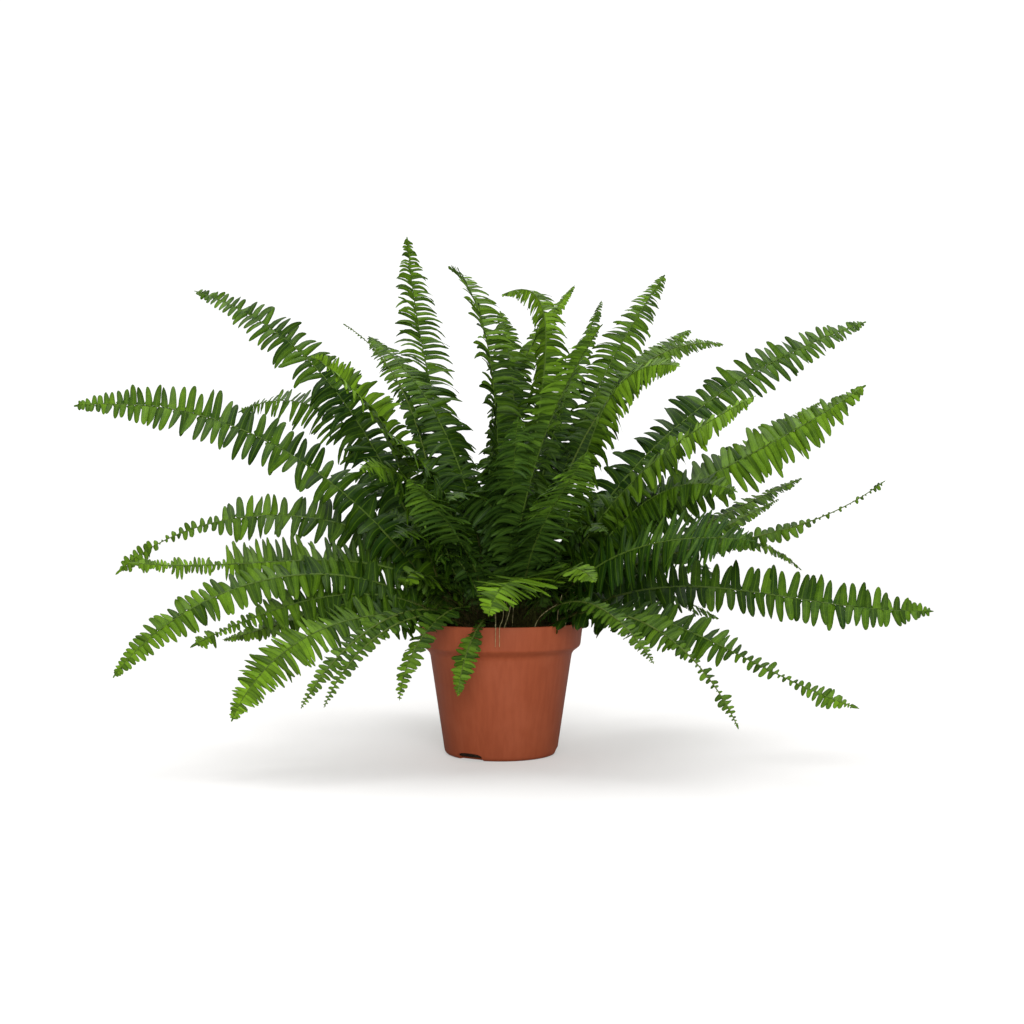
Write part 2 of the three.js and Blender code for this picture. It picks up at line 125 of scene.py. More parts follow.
# One row for each frond. Azimuth: where its tip points, 0 is right, 90 away from the front, 180 left.
# Reach and rise: the tip's distance from the pot's axis and height above the table.
# Launch and droop: how steeply the stalk leaves the soil and the tip ends, in degrees above level.
# Roll: the blade's turn about its rib. Fold: how far both rows of leaflets are folded up. Leaf: the
# longest leaflets. Pitch: from one leaflet to the next. Tone: 0 is deep green and 1 is young lime green.
# Full: a leaflet's width as a share of the pitch. The last four end the rows where they aren't as usual.
# Long: a leaflet's length as a share of the solid's. Tail: the share of the blade at its tip that has
# only small ones. Sweep: how far the frond turns sideways on its way. Twist: what its tip adds to roll.
COLUMNS = "azimuth reach rise launch droop roll fold leaf pitch tone full long tail sweep twist".split()
USUAL = {"long": 1, "tail": 0, "sweep": 0, "twist": 0}
FRONDS = [
    # The left side, from the top down.
    [150, 164, 375, 66, 30, -20, -10, 10, 5.5, 0.35, 1.1, 1, 0.3],
    [175, 264, 396, 63, 19, -45, 4, 28, 6.6, 0.27, 0.9],
    [165, 241, 296, 66, -23, -45, -15, 29, 5.4, 0.3, 0.74],
    [215, 176, 325, 57, 27, -45, 25, 30, 3.6, 0.82, 1.3],
    [193, 345, 290, 57, -6, -38, 4, 28, 7.2, 0.3, 0.92, 1, 0, 0, -22],
    [196, 298, 164, 62, 6, -50, -10, 29, 3.7, 0.75, 1.15, 1, 0.22],
    [182, 320, 157, 71, -42, -50, 0, 25, 6.8, 0.5, 0.98, 1, 0.26],
    [205, 321, 82, 46, -52, -45, -10, 21, 5.8, 0.5, 1.02],
    [190, 231, 100, 42, -12, -40, -10, 13, 4, 0.85, 1.2],
    [202, 256, 102, 42, -26, -45, -10, 23, 4.6, 0.55, 1.1, 1, 0.26],
    [215, 245, 50, 27, -64, -35, -10, 23, 3.5, 0.75, 1.2],
    [229, 221, 62, 40, -52, -30, -10, 12, 5.5, 0.5, 1, 0.85],
    [232, 209, 62, 34, -58, -30, -10, 9, 5.5, 0.4, 1, 0.85],
    [205, 165, 120, 44, -30, -40, -10, 22, 3.6, 0.28, 1.15],
    # The back, from left to right.
    [135, 175, 369, 84, 29, -15, -10, 27, 4, 0.4, 1.2],
    [115, 224, 475, 74, 77, 15, 15, 31, 6, 0.4, 0.82],
    [108, 162, 438, 82, 22, 30, 28, 28, 5.2, 0.62, 0.88, 1, 0, 8],
    [90.5, 140, 394, 80, 55, 0, -10, 24, 4.2, 0.42, 1, 1, 0, 18],
    [88.7, 80, 403, 86, -12, -20, -40, 23, 3.6, 0.85, 1.15, 1, 0, 45],
    [66, 168, 421, 76, 49, 0, -10, 15, 3.6, 0.8, 1.15, 1, 0, -45],
    [54, 159, 403, 80, 55, 10, -10, 14, 5.5, 0.35, 1],
    [45, 219, 431, 74, 46, 40, -10, 24, 5.4, 0.42, 0.88],
    [48, 279, 386, 80, 25, 40, -10, 16, 4, 0.5, 1.2, 1.12],
    # The right side, from the top down.
    [30, 238, 362, 80, -3, 45, -10, 12, 4.2, 0.5, 1, 1.35],
    [320, 178, 318, 54, -12, 50, -20, 27, 4.2, 0.8, 1.1, 1.1],
    [8, 322, 372, 67, 20, 45, 0, 28, 6.4, 0.28, 0.97],
    [22, 325, 309, 46, 28, 40, -10, 12, 4.2, 0.6, 1],
    [335, 219, 295, 65, 25, 40, -10, 26, 3.8, 0.85, 1.35],
    [350, 299, 306, 59, 35, 50, -10, 31, 5.4, 0.52, 1.2],
    [20, 294, 236, 38, 20, 30, -10, 12, 4, 0.5, 1.25, 1, 0, 10],
    [8, 245, 216, 36, 25, 30, -10, 10, 4, 0.5, 1.25, 1, 0, 10],
    [345, 314, 228, 54, 38, 40, -10, 12, 6.4, 0.4, 1, 1, 0.2],
    [320, 243, 184, 54, -5, 50, -5, 32, 4.4, 0.12, 1.05],
    [354, 356, 123, 37, 1, 55, 8, 26, 7.4, 0.32, 1],
    [15, 280, 153, 38, -42, 35, -10, 10, 4.2, 0.45, 1, 1.25],
    [328, 306, 62, 30, -15, 45, -10, 23, 6, 0.38, 1, 1, 0.4],
    [310, 263, 54, 30, -56, 40, -10, 12, 6, 0.4, 1, 1.35, 0.35],
    [300, 221, 97, 42, -40, 30, -10, 11, 5, 0.45, 1, 0.85],
    [33, 243, 105, 34, -25, 30, -10, 16, 4.6, 0.3, 1],
    # The front.
    [295, 177, 342, 80, 30, 28, 28, 27, 4, 0.9, 1.05],
    [266.4, 128, 128, 44, -77, 0, -10, 20, 2.9, 1.4, 1.4, 1.5, 0, -95],
    [254, 118, 64, 62, -78, 0, -10, 11, 3.2, 0.8, 1.4, 0.95, 0, -10],
    [241, 156, 64, 72, -82, 0, -10, 12, 5.5, 0.6, 1, 0.95],
    [242, 145, 230, 76, 30, 0, -10, 24, 3.6, 0.5, 1],
    [288, 200, 246, 75, 30, 0, -10, 24, 3.6, 0.5, 1],
    [218, 98, 145, 74, -84, 0, -10, 18, 3.6, 1.5, 1.5, 1.35],
    [300, 145, 152, 55, -35, 20, -10, 12, 3.8, 1.3, 1, 1.2],
    [226, 134, 270, 72, 20, -20, -10, 26, 3.6, 0.5, 1],
    [224, 149, 239, 68, -12, -40, -10, 26, 3.7, 0.5, 1],
    [335, 204, 222, 52, -22, 40, -10, 26, 3.8, 0.3, 1.1],
    [278, 101, 277, 84, 50, 0, -10, 24, 3.6, 0.3, 1],
    # Behind the others.
    [70, 300, 200, 50, -30, 0, -10, 26, 6.2, 0.3, 1],
    [92, 330, 160, 45, -40, 0, -10, 28, 6.2, 0.35, 1],
    [112, 300, 220, 55, -25, 0, -10, 26, 6.2, 0.3, 1],
    [100, 280, 80, 28, -45, 0, -10, 24, 6.2, 0.3, 1],
    [125, 300, 130, 40, -40, 0, -10, 26, 6.2, 0.35, 1],
    [44, 300, 130, 38, -38, 0, -10, 26, 6.2, 0.3, 1],
    [142, 200, 240, 55, -10, 0, -10, 26, 6.2, 0.35, 1, 1, 0, -10],
]

# Short shoots fill the crown. Each grows from the foot of a frond above, given by its number.
SHOOT_COLUMNS = "foot azimuth reach rise launch droop roll leaf tone".split()
SHOOTS = [
    [41, 242, 85, 215, 84, -30, 0, 24, 0.3],
    [45, 298, 95, 205, 82, -35, 0, 24, 0.3],
    [47, 320, 110, 190, 70, -30, 15, 24, 0.3],
    [46, 220, 110, 185, 72, -30, -15, 24, 0.3],
    [4, 180, 105, 200, 70, -25, -20, 24, 0.3],
    [50, 0, 105, 215, 70, -20, 20, 24, 0.3],
    [51, 265, 60, 250, 86, 20, 0, 22, 0.3],
    [42, 230, 80, 165, 72, -55, 0, 20, 0.3],
    [38, 306, 85, 160, 77, -55, 0, 20, 0.3],
    [58, 158, 90, 260, 76, 30, 0, 24, 0.3],
    [24, 30, 100, 265, 76, 30, 0, 24, 0.3],
    [53, 90, 80, 230, 76, 0, 0, 24, 0.3],
]
SHOOT_LOOKS = {"fold": -10, "pitch": 3.6, "full": 1, **USUAL}

# ---- Leaflets ----
# Numbers with "spread" in their names are the standard deviations of seeded draws, and pairs are the
# lowest and highest of even ones.
TIP_CROWDING = 1.3
CROWDED = 0.2
ROW_OFFSET = 0.2
PLACE_JITTER = 0.12
LENGTHS = (0.86, 1.08)
TAIL_CLUMPS = 16
TAIL_GROWTH = (0.2, 1.7)
NARROWEST = 0.7
WIDEST = 1.2
PLUMPEST = 0.75
LEAST_STRETCH = 0.45
FOLD_SPREAD = 5
LEAFLET_RINGS = np.array([0, 0.06, 0.2, 0.42, 0.65, 0.84, 0.96])
LEAFLET_AROUND = 8
LEAFLET_HALF_THICKNESS = 0.16
LEAN = 0.06
STEEP_LEAN = 0.36
LEAN_SPREAD = 0.07
SAG = 0.06
STEEP_SAG = 0.48
SAGS = (0.6, 1.4)
SWING_SPREAD = 0.06
START_TWIST_SPREAD = 0.15
END_TWIST_SPREAD = 0.5
TAPERS = (0.12, 0.42)
EAR = 0.45
EAR_PLACE = 0.06
EAR_REACH = 0.07
WAVES = (0.05, 0.2)
WAVE_COUNTS = (1.2, 2.2)
ARCHES = (-0.45, 0.05)
CREASE = 0.12
VEIN_SPACING = 95
VEIN_SLANT = -46
TONES = (0.7, 1.15)
TONE_SPREAD = 0.08
SHADE_RANGE = 0.85

# ---- Crown ----
CROWN_HEART = (0, 35, 185)
HEART_REACH = 130
HEART_SHADE = 1.15
INNER_SHADE = 0.75
RIB_SHADE = 0.7
CROWN_TANGLE = 2
CROWN_FULLNESS = 0.4

# ---- Ribs ----
RIB_AROUND = 8
RIB_STEPS = 44
RIB_RISE = 0.85
RIB_GROOVE = 0.5

# ---- Scales, old stalks and hairs ----
SCALES_PER_STALK = 60
SCALED_STALK = 60
SCALE_SIZES = (1.6, 3.8)
SCALE_HALF_WIDTH = 0.28
OLD_STALKS = 130
OLD_STALK_HEIGHT = 26
OLD_STALK_GIRTH = 2.6
CROWN_HAIRS = 3000
HAIR_HEIGHT = 38
HAIR_GIRTH = 0.7
THATCH_RADIUS = 50
THATCH_DEPTH = 2
THATCH_HEIGHTS = (0.4, 1)
THATCH_GIRTHS = (0.6, 1)
THATCH_TAPER = 0.75
THATCH_TURN_SPREAD = 50
THATCH_LEAN_SPREAD = 0.25
THATCH_AROUND = 4
THATCH_RINGS = 6

# ---- Runners ----
RUNNER_AROUND = 6
RUNNER_STEPS = 40
RUNNER_END = 0.6

# ---- Colours, as linear red, green and blue ----
PLASTIC = ((0.245, 0.052, 0.018, 1), (0.275, 0.061, 0.022, 1))
WORN_PLASTIC = (0.34, 0.09, 0.04, 1)
PLASTIC_PITS = (0.18, 0.04, 0.018, 1)
PEAT = ((0.008, 0.005, 0.003, 1), (0.05, 0.028, 0.015, 1))
PEAT_FIBRE = (0.13, 0.08, 0.045, 1)
LEAF = {"Deep": (0.01, 0.05, 0.002, 1), "Young": (0.2, 0.375, 0.014, 1),
        "Stem": (0.08, 0.14, 0.018, 1)}
NARROW = {"Deep": (0.014, 0.052, 0.003, 1), "Young": (0.18, 0.33, 0.018, 1),
          "Stem": (0.09, 0.135, 0.022, 1)}
LIGHT_THROUGH = 0.25
SHADED_LEAF = (0.002, 0.018, 0.001, 1)
# Painted shade along the leaflets' edges, where neighbouring leaflets meet.
LEAF_EDGE_SHADE = (0.004, 0.026, 0.002, 1)
LEAF_UNDERSIDE = (0.09, 0.18, 0.045, 1)
LIGHT_THROUGH_LEAF = (0.24, 0.62, 0.02, 1)
# Ribs turn to this dark brown at the foot of the stalk, and towards it as painted shade in the crown.
WITHERED_AND_SHADED_STEM = (0.02, 0.012, 0.005, 1)
SCALE = ((0.07, 0.035, 0.014, 1), (0.03, 0.015, 0.007, 1))
OLD_STALK = ((0.045, 0.03, 0.012, 1), (0.015, 0.01, 0.005, 1))
CROWN_HAIR = ((0.045, 0.05, 0.01, 1), (0.018, 0.012, 0.004, 1))
RUNNER = ((0.36, 0.33, 0.17, 1), (0.22, 0.18, 0.08, 1))

# ---- Studio ----
AMBIENT = 0.26
OVERHEAD = 3.5
OVERHEAD_SPREAD = 66
OVERHEAD_TILT = -13
FRONT_LAMP = 45
LAMP_PLACE = (0.15, -2.2, 0.75)
LAMP_AIM = (0, 0, 0.2)
FLOOR_REACH = 12000
FLOOR_GLOW = 0.37
SKY_SEEN = 1.1
FLOOR_SEEN = (0.5, 0.5, 0.5, 1)
FLOOR_LIGHT = (1, 0.97, 0.935, 1)
FLOOR_BOUNCE = (0.55, 0.55, 0.54, 1)


# ======== Arrays and meshes ========
def unit(vectors):
    return vectors / np.linalg.norm(vectors, axis=-1, keepdims=True)


def mix(a, b, share):
    return a + (b - a) * share


def smoothstep(x, low, high):
    share = np.clip((x - low) / (high - low), 0, 1)
    return share * share * (3 - 2 * share)


def heading(azimuth, elevation=0):
    """Unit vectors at an azimuth, tilted up by an elevation, in degrees."""
    azimuth, elevation = np.broadcast_arrays(np.radians(azimuth), np.radians(elevation))
    level = np.cos(elevation)
    return np.stack([np.cos(azimuth) * level, np.sin(azimuth) * level, np.sin(elevation)], -1)


def round_angles(count):
    return np.arange(count) * 2 * np.pi / count


def tube_faces(rings, around):
    """Quads between neighbouring rings of a closed section. It runs anticlockwise seen from the far end."""
    ring, step = np.meshgrid(np.arange(rings - 1), np.arange(around), indexing="ij")
    near = ring * around
    beside = (step + 1) % around
    quads = np.stack([near + step, near + beside, near + around + beside, near + around + step], -1)
    return quads.reshape(-1, 4)


def closed_tube(rings, around):
    """The same quads, with a cap on each end."""
    cap = np.arange(around)
    return [*tube_faces(rings, around), cap[::-1], (rings - 1) * around + cap]


def copies(faces, each, count):
    """One shell's faces for a count of equal shells, each with so many vertices."""
    starts = each * np.arange(count)[:, None, None]
    return (starts + np.array(faces)).reshape(-1, len(faces[0]))


def mesh_from(name, places, faces):
    """A mesh from places in millimetres."""
    mesh = bpy.data.meshes.new(name)
    mesh.from_pydata((places * MM).tolist(), [], [list(face) for face in faces])
    return mesh


def put(name, data, place=(0, 0, 0), turn=(0, 0, 0)):
    """An object in the scene, with its place in metres."""
    made = bpy.data.objects.new(name, data)
    made.location = place
    made.rotation_euler = turn
    bpy.context.scene.collection.objects.link(made)
    return made


def piece(name, places, faces, material, slot=None, smooth=True, uv=None, border=None, **values):
    """A piece of the plant at the origin. Values are one number for each vertex, and the edges that join
    two border vertices are sharp."""
    mesh = mesh_from(name, places, faces)
    for key, numbers in values.items():
        layer = mesh.attributes.new(key, "FLOAT", "POINT")
        layer.data.foreach_set("value", np.ascontiguousarray(numbers, np.float32))
    if uv is not None:
        corners = np.empty(len(mesh.loops), np.int32)
        mesh.loops.foreach_get("vertex_index", corners)
        mesh.uv_layers.new(name="UVMap").data.foreach_set("uv", uv[corners].astype(np.float32).ravel())
    mesh.polygons.foreach_set("use_smooth", np.full(len(mesh.polygons), smooth))
    if border is not None:
        ends = np.empty(len(mesh.edges) * 2, np.int32)
        mesh.edges.foreach_get("vertices", ends)
        mesh.edges.foreach_set("use_edge_sharp", border[ends.reshape(-1, 2)].all(1))
    mesh.materials.append(material)
    made = put(name, mesh)
    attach(made, "root")
    return made


# ======== Materials ========
def new_material(name):
    material = bpy.data.materials.new(name)
    material.use_nodes = True
    material.node_tree.nodes.clear()
    return material, material.node_tree


def add(tree, kind, inputs=None, **settings):
    """A node of this kind. Inputs are values or the sockets that feed them."""
    node = tree.nodes.new(kind)
    for key, value in settings.items():
        setattr(node, key, value)
    for key, value in (inputs or {}).items():
        if isinstance(value, bpy.types.NodeSocket):
            tree.links.new(value, node.inputs[key])
        else:
            node.inputs[key].default_value = value
    return node


def math_node(tree, operation, a, b=0, c=0):
    return add(tree, "ShaderNodeMath", {0: a, 1: b, 2: c}, operation=operation).outputs[0]


def times(tree, a, b):
    return math_node(tree, "MULTIPLY", a, b)


def mix_colour(tree, share, a, b, blend="MIX"):
    return add(tree, "ShaderNodeMix", {0: share, 6: a, 7: b}, data_type="RGBA", blend_type=blend,
               clamp_factor=True).outputs[2]


def band(tree, value, low, high):
    """0 below low and 1 above high, with a smooth rise between."""
    node = add(tree, "ShaderNodeMapRange", {"Value": value, "From Min": low, "From Max": high},
               interpolation_type="SMOOTHSTEP", clamp=True)
    return node.outputs[0]


def noise(tree, place, scale, detail=3, roughness=0.55):
    inputs = {"Vector": place, "Scale": scale, "Detail": detail, "Roughness": roughness}
    return add(tree, "ShaderNodeTexNoise", inputs).outputs["Fac"]


def bump(tree, height, distance, strength=1):
    inputs = {"Height": height, "Distance": distance, "Strength": strength}
    return add(tree, "ShaderNodeBump", inputs).outputs["Normal"]


def opaque_face(tree, colour, rough, normal, specular):
    inputs = {"Base Color": colour, "Roughness": rough, "Normal": normal, "Specular IOR Level": specular}
    return add(tree, "ShaderNodeBsdfPrincipled", inputs).outputs[0]


def show(tree, shader):
    add(tree, "ShaderNodeOutputMaterial", {"Surface": shader})


def object_place(tree, stretch=(1, 1, 1)):
    place = add(tree, "ShaderNodeTexCoord").outputs["Object"]
    if stretch == (1, 1, 1):
        return place
    return add(tree, "ShaderNodeMapping", {"Vector": place, "Scale": stretch}).outputs[0]


def leaf_surface_group():
    """What every leaf shows: its own green between a deep and a young one, mottled, darkened by painted
    shade as its Shade value says, with painted shade along its edges, a pale midrib, slanting side veins
    and a dull underside. Ribs show the stem's colour, brown at the foot and darkened by painted shade in
    the crown."""
    group = bpy.data.node_groups.new("leaf surface", "ShaderNodeTree")
    for way, kind, names in (("INPUT", "Float", ("Tone", "Shade", "Rib", "Under")),
                             ("INPUT", "Vector", ("Leaf Place",)),
                             ("INPUT", "Color", ("Deep", "Young", "Stem")),
                             ("OUTPUT", "Color", ("Colour", "Glow")),
                             ("OUTPUT", "Float", ("Roughness", "Height"))):
        for name in names:
            group.interface.new_socket(name=name, in_out=way, socket_type=f"NodeSocket{kind}")
    given = add(group, "NodeGroupInput").outputs
    place = object_place(group)
    patches = noise(group, place, 90)
    grain = noise(group, place, 1400, 2)
    mottle = math_node(group, "ADD", patches, times(group, grain, 0.9))
    tone = math_node(group, "ADD", given["Tone"], math_node(group, "MULTIPLY_ADD", mottle, 0.8, -0.74))
    green = mix_colour(group, tone, given["Deep"], given["Young"])
    shaded = mix_colour(group, times(group, given["Shade"], 0.85), green, SHADED_LEAF)
    split = add(group, "ShaderNodeSeparateXYZ", {0: given["Leaf Place"]}).outputs
    aside = math_node(group, "ABSOLUTE", math_node(group, "SUBTRACT", split["X"], 0.5))
    slant = math_node(group, "MULTIPLY_ADD", split["Y"], VEIN_SPACING, times(group, aside, VEIN_SLANT))
    vein = band(group, math_node(group, "SINE", slant), 0.55, 1)
    midrib = math_node(group, "SUBTRACT", 1, band(group, aside, 0.02, 0.075))
    # Painted shade: each leaflet darkens towards its edges, as in the gaps between neighbours.
    edge = times(group, band(group, aside, 0.33, 0.5), 0.55)
    edge_shaded = mix_colour(group, edge, shaded, LEAF_EDGE_SHADE)
    veined = mix_colour(group, times(group, vein, 0.12), edge_shaded, given["Young"])
    ribbed = mix_colour(group, times(group, midrib, 0.22), veined, given["Young"])
    dull = mix_colour(group, times(group, given["Under"], 0.18), ribbed, LEAF_UNDERSIDE)
    # Ribs: brown at the foot, and painted shade in the crown, as their Shade value says.
    stem = mix_colour(group, times(group, given["Shade"], 0.9), given["Stem"], WITHERED_AND_SHADED_STEM)
    colour = mix_colour(group, given["Rib"], dull, stem)
    glow = mix_colour(group, 0.55, colour, LIGHT_THROUGH_LEAF, "SOFT_LIGHT")
    rough = math_node(group, "MULTIPLY_ADD", grain, 0.22, 0.38)
    raised = math_node(group, "ADD", times(group, midrib, -0.6), times(group, vein, 0.35))
    height = math_node(group, "ADD", raised, times(group, grain, 0.5))
    add(group, "NodeGroupOutput", {"Colour": colour, "Glow": glow, "Roughness": rough, "Height": height})
    return group


def leaf_material(name, group, colours):
    """A leaf: a satin face, mixed with light that passes through the blade."""
    material, tree = new_material(name)
    given = {key.title(): add(tree, "ShaderNodeAttribute", attribute_name=key).outputs["Fac"]
             for key in ("tone", "shade", "rib", "under")}
    given["Leaf Place"] = add(tree, "ShaderNodeUVMap", uv_map="UVMap").outputs["UV"]
    found = add(tree, "ShaderNodeGroup", {**given, **colours}, node_tree=group).outputs
    normal = bump(tree, found["Height"], 0.00012, 0.5)
    face = opaque_face(tree, found["Colour"], found["Roughness"], normal, 0.12)
    through = add(tree, "ShaderNodeBsdfTranslucent", {"Color": found["Glow"], "Normal": normal}).outputs[0]
    show(tree, add(tree, "ShaderNodeMixShader", {0: LIGHT_THROUGH, 1: face, 2: through}).outputs[0])
    return material


def pot_material():
    """Matte moulded plastic in terracotta: faint upright flow marks, fine grain and a little dust."""
    material, tree = new_material("terracotta plastic")
    place = object_place(tree)
    flow = noise(tree, object_place(tree, (1, 1, 0.12)), 260, 4)
    patches = noise(tree, place, 26)
    grain = noise(tree, place, 2600, 2)
    base = mix_colour(tree, band(tree, flow, 0.3, 0.7), *PLASTIC)
    wear = times(tree, band(tree, patches, 0.45, 0.75), 0.35)
    pitted = times(tree, band(tree, grain, 0.55, 0.8), 0.25)
    colour = mix_colour(tree, pitted, mix_colour(tree, wear, base, WORN_PLASTIC), PLASTIC_PITS)
    rough = math_node(tree, "MULTIPLY_ADD", patches, 0.2, 0.52)
    height = math_node(tree, "ADD", times(tree, flow, 0.6), grain)
    show(tree, opaque_face(tree, colour, rough, bump(tree, height, 0.00006, 0.5), 0.2))
    return material


def soil_material():
    """Damp peat: dark brown crumbs with paler fibres."""
    material, tree = new_material("damp peat")
    place = object_place(tree)
    crumbs = noise(tree, place, 420, 5, 0.7)
    fibres = noise(tree, object_place(tree, (1, 0.2, 1)), 900, 2)
    dark = mix_colour(tree, band(tree, crumbs, 0.3, 0.7), *PEAT)
    fibrous = times(tree, band(tree, fibres, 0.62, 0.72), 0.6)
    fibred = mix_colour(tree, fibrous, dark, PEAT_FIBRE)
    rough = math_node(tree, "MULTIPLY_ADD", crumbs, 0.25, 0.72)
    show(tree, opaque_face(tree, fibred, rough, bump(tree, crumbs, 0.0012, 0.8), 0.2))
    return material


def stem_material(name, tones, rough):
    """A dry stem, runner or scale, streaked between a pale and a dark tone."""
    material, tree = new_material(name)
    streaks = noise(tree, object_place(tree), 300)
    colour = mix_colour(tree, band(tree, streaks, 0.35, 0.65), *tones)
    show(tree, opaque_face(tree, colour, rough, bump(tree, streaks, 0.0002, 0.5), 0.1))
    return material


# ======== Pot ========
def filleted(corners, steps=6):
    """A line through corners of (radius, height, fillet): each corner is a parabola that leaves and
    meets its two sides a fillet's length away."""
    points = np.array([corner[:2] for corner in corners], float)
    line = [points[:1]]
    share = np.linspace(0, 1, steps)[:, None]
    for n in range(1, len(points) - 1):
        fillet = corners[n][2]
        before = points[n] + unit(points[n - 1] - points[n]) * fillet
        after = points[n] + unit(points[n + 1] - points[n]) * fillet
        curve = (1 - share) ** 2 * before + 2 * share * (1 - share) * points[n] + share**2 * after
        line.append(curve if fillet else points[n:n + 1])
    return np.concatenate([*line, points[-1:]])


def turned(profile, sides):
    """A profile of (radius, height) turned about +Z, from the axis underneath to the axis on top: each
    point becomes a ring, and the two on the axis close it as poles."""
    angle = round_angles(sides)
    inner = profile[1:-1]
    rings = np.stack([inner[:, :1] * np.cos(angle), inner[:, :1] * np.sin(angle),
                      np.repeat(inner[:, 1:], sides, 1)], -1)
    poles = [[0, 0, profile[0, 1]], [0, 0, profile[-1, 1]]]
    places = np.concatenate([rings.reshape(-1, 3), poles])
    step = np.arange(sides)
    beside = (step + 1) % sides
    last = (len(inner) - 1) * sides
    low, top = len(places) - 2, len(places) - 1
    quads = tube_faces(len(inner), sides)
    under = np.stack([np.full(sides, low), beside, step], -1)
    over = np.stack([np.full(sides, top), last + step, last + beside], -1)
    return places, [*quads, *under, *over]


def cut(made, cutters):
    """Cuts closed meshes out of a piece and removes them."""
    for cutter in cutters:
        boolean = made.modifiers.new("cut", "BOOLEAN")
        boolean.operation = "DIFFERENCE"
        boolean.solver = "EXACT"
        boolean.object = cutter
    whole = made.evaluated_get(bpy.context.evaluated_depsgraph_get())
    mesh = bpy.data.meshes.new_from_object(whole)
    made.modifiers.clear()
    made.data = mesh
    for cutter in cutters:
        bpy.data.objects.remove(cutter)


def slot_cutter(angle):
    """A box with a rounded roof across the pot's foot: its section is a half ellipse on a rectangle."""
    turn = np.linspace(0, np.pi, 13)
    across = np.concatenate([[SLOT_WIDTH / 2], SLOT_WIDTH / 2 * np.cos(turn), [-SLOT_WIDTH / 2]])
    roof = SLOT_HEIGHT * np.sin(turn) ** 0.35
    height = np.concatenate([[-SLOT_HEIGHT], roof, [-SLOT_HEIGHT]])
    out = np.array([SLOT_REACH, RIM_RADIUS])[:, None]
    ahead, aside = heading(angle), heading(angle + 90)
    places = (out[..., None] * ahead + across[None, :, None] * aside
              + height[None, :, None] * np.array([0, 0, 1])).reshape(-1, 3)
    return put("slot", mesh_from("slot", places, closed_tube(2, len(across))))


def make_pot():
    """The pot's wall as one closed profile: up the outside, over the lip and down the inside."""
    profile = filleted([
        (0, 0, 0),
        (FOOT_RADIUS - SLOPE * FOOT_FILLET, 0, FOOT_FILLET),
        (SHOULDER_RADIUS, SHOULDER_HEIGHT, SHOULDER_FILLET),
        (BAND_FOOT_RADIUS, BAND_FOOT, BAND_FILLET),
        (RIM_RADIUS, POT_HEIGHT, LIP_FILLET),
        (RIM_RADIUS - WALL - RIM_EXTRA, POT_HEIGHT, LIP_FILLET / 2),
        (BAND_FOOT_RADIUS - WALL, BAND_FOOT + WALL / 2, INNER_FILLET),
        (SHOULDER_RADIUS - WALL, SHOULDER_HEIGHT + WALL / 2, INNER_FILLET),
        (INNER_FLOOR_RADIUS, FLOOR, INNER_FOOT_FILLET),
        (0, FLOOR, 0),
    ])
    made = piece("nursery_pot", *turned(profile, POT_SIDES), pot_material(), "pot_plastic")
    cut(made, [slot_cutter(angle) for angle in SLOT_ANGLES])
    made.data.polygons.foreach_set("use_smooth", np.ones(len(made.data.polygons), bool))
    made.data.set_sharp_from_angle(angle=math.radians(SHARP_ANGLE))
    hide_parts("pot")


# ======== Soil ========
def ripples(x, y, wavelength, rng):
    """Rough ground: the mean of many sine waves of about one length in seeded directions."""
    turn = rng.uniform(0, 2 * np.pi, RIPPLE_WAVES)
    size = rng.uniform(0.7, 1.4, RIPPLE_WAVES) * wavelength
    phase = rng.uniform(0, 2 * np.pi, RIPPLE_WAVES)
    travel = (x[..., None] * np.cos(turn) + y[..., None] * np.sin(turn)) / size
    return np.sin(travel * 2 * np.pi + phase).mean(-1) * math.sqrt(RIPPLE_WAVES)


def soil_height(x, y):
    """Level at the crown and lower at the wall, roughened by two sizes of ripple."""
    crown = mix(SOIL_TOP, SOIL_EDGE, smoothstep(np.hypot(x, y), CROWN_RADIUS, RIM_RADIUS - WALL))
    rng = np.random.default_rng(SEED)
    coarse = ripples(x, y, COARSE_RIPPLE, rng)
    return crown + SOIL_RELIEF * (coarse + FINE_RELIEF * ripples(x, y, FINE_RIPPLE, rng)) / 2


def make_soil(material):
    """The soil as a profile inside the pot's wall, with its top lifted by the rough ground."""
    wide = BAND_FOOT_RADIUS - WALL - GAP
    edge = wide + SOIL_DRAFT
    wall = [(0, FLOOR + GAP), (INNER_FLOOR_RADIUS - 2 * GAP, FLOOR + GAP),
            (SHOULDER_RADIUS - WALL - GAP, SHOULDER_HEIGHT), (wide, BAND_FOOT + WALL),
            (edge, SOIL_EDGE - SOIL_ROUNDING)]
    rings = np.linspace(edge, 0, SOIL_RINGS)
    profile = np.concatenate([wall, np.stack([rings, np.full(SOIL_RINGS, SOIL_EDGE)], -1)])
    places, faces = turned(profile, SOIL_SIDES)
    ground = places[:, 2] == SOIL_EDGE
    places[ground, 2] = soil_height(places[ground, 0], places[ground, 1])
    made = piece("soil_fill", places, faces, material, "potting_soil")
    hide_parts("soil")


def lump():
    """A twenty-faced ball: its twelve corners, and as faces the threes of corners that are neighbours."""
    golden = (1 + math.sqrt(5)) / 2
    corners = np.array([(a, b * golden, 0) for a in (-1, 1) for b in (-1, 1)])
    corners = unit(np.concatenate([corners, np.roll(corners, 1, 1), np.roll(corners, 2, 1)]))
    gaps = np.linalg.norm(corners[:, None] - corners, axis=-1)
    close = (gaps > 0.1) & (gaps < 1.1)
    faces = np.array([three for three in combinations(range(12), 3)
                      if close[np.ix_(three, three)].sum() == 6])
    a, b, c = corners[faces.T]
    inward = (np.cross(b - a, c - a) * (a + b + c)).sum(-1) < 0
    return corners, np.where(inward[:, None], faces[:, ::-1], faces)


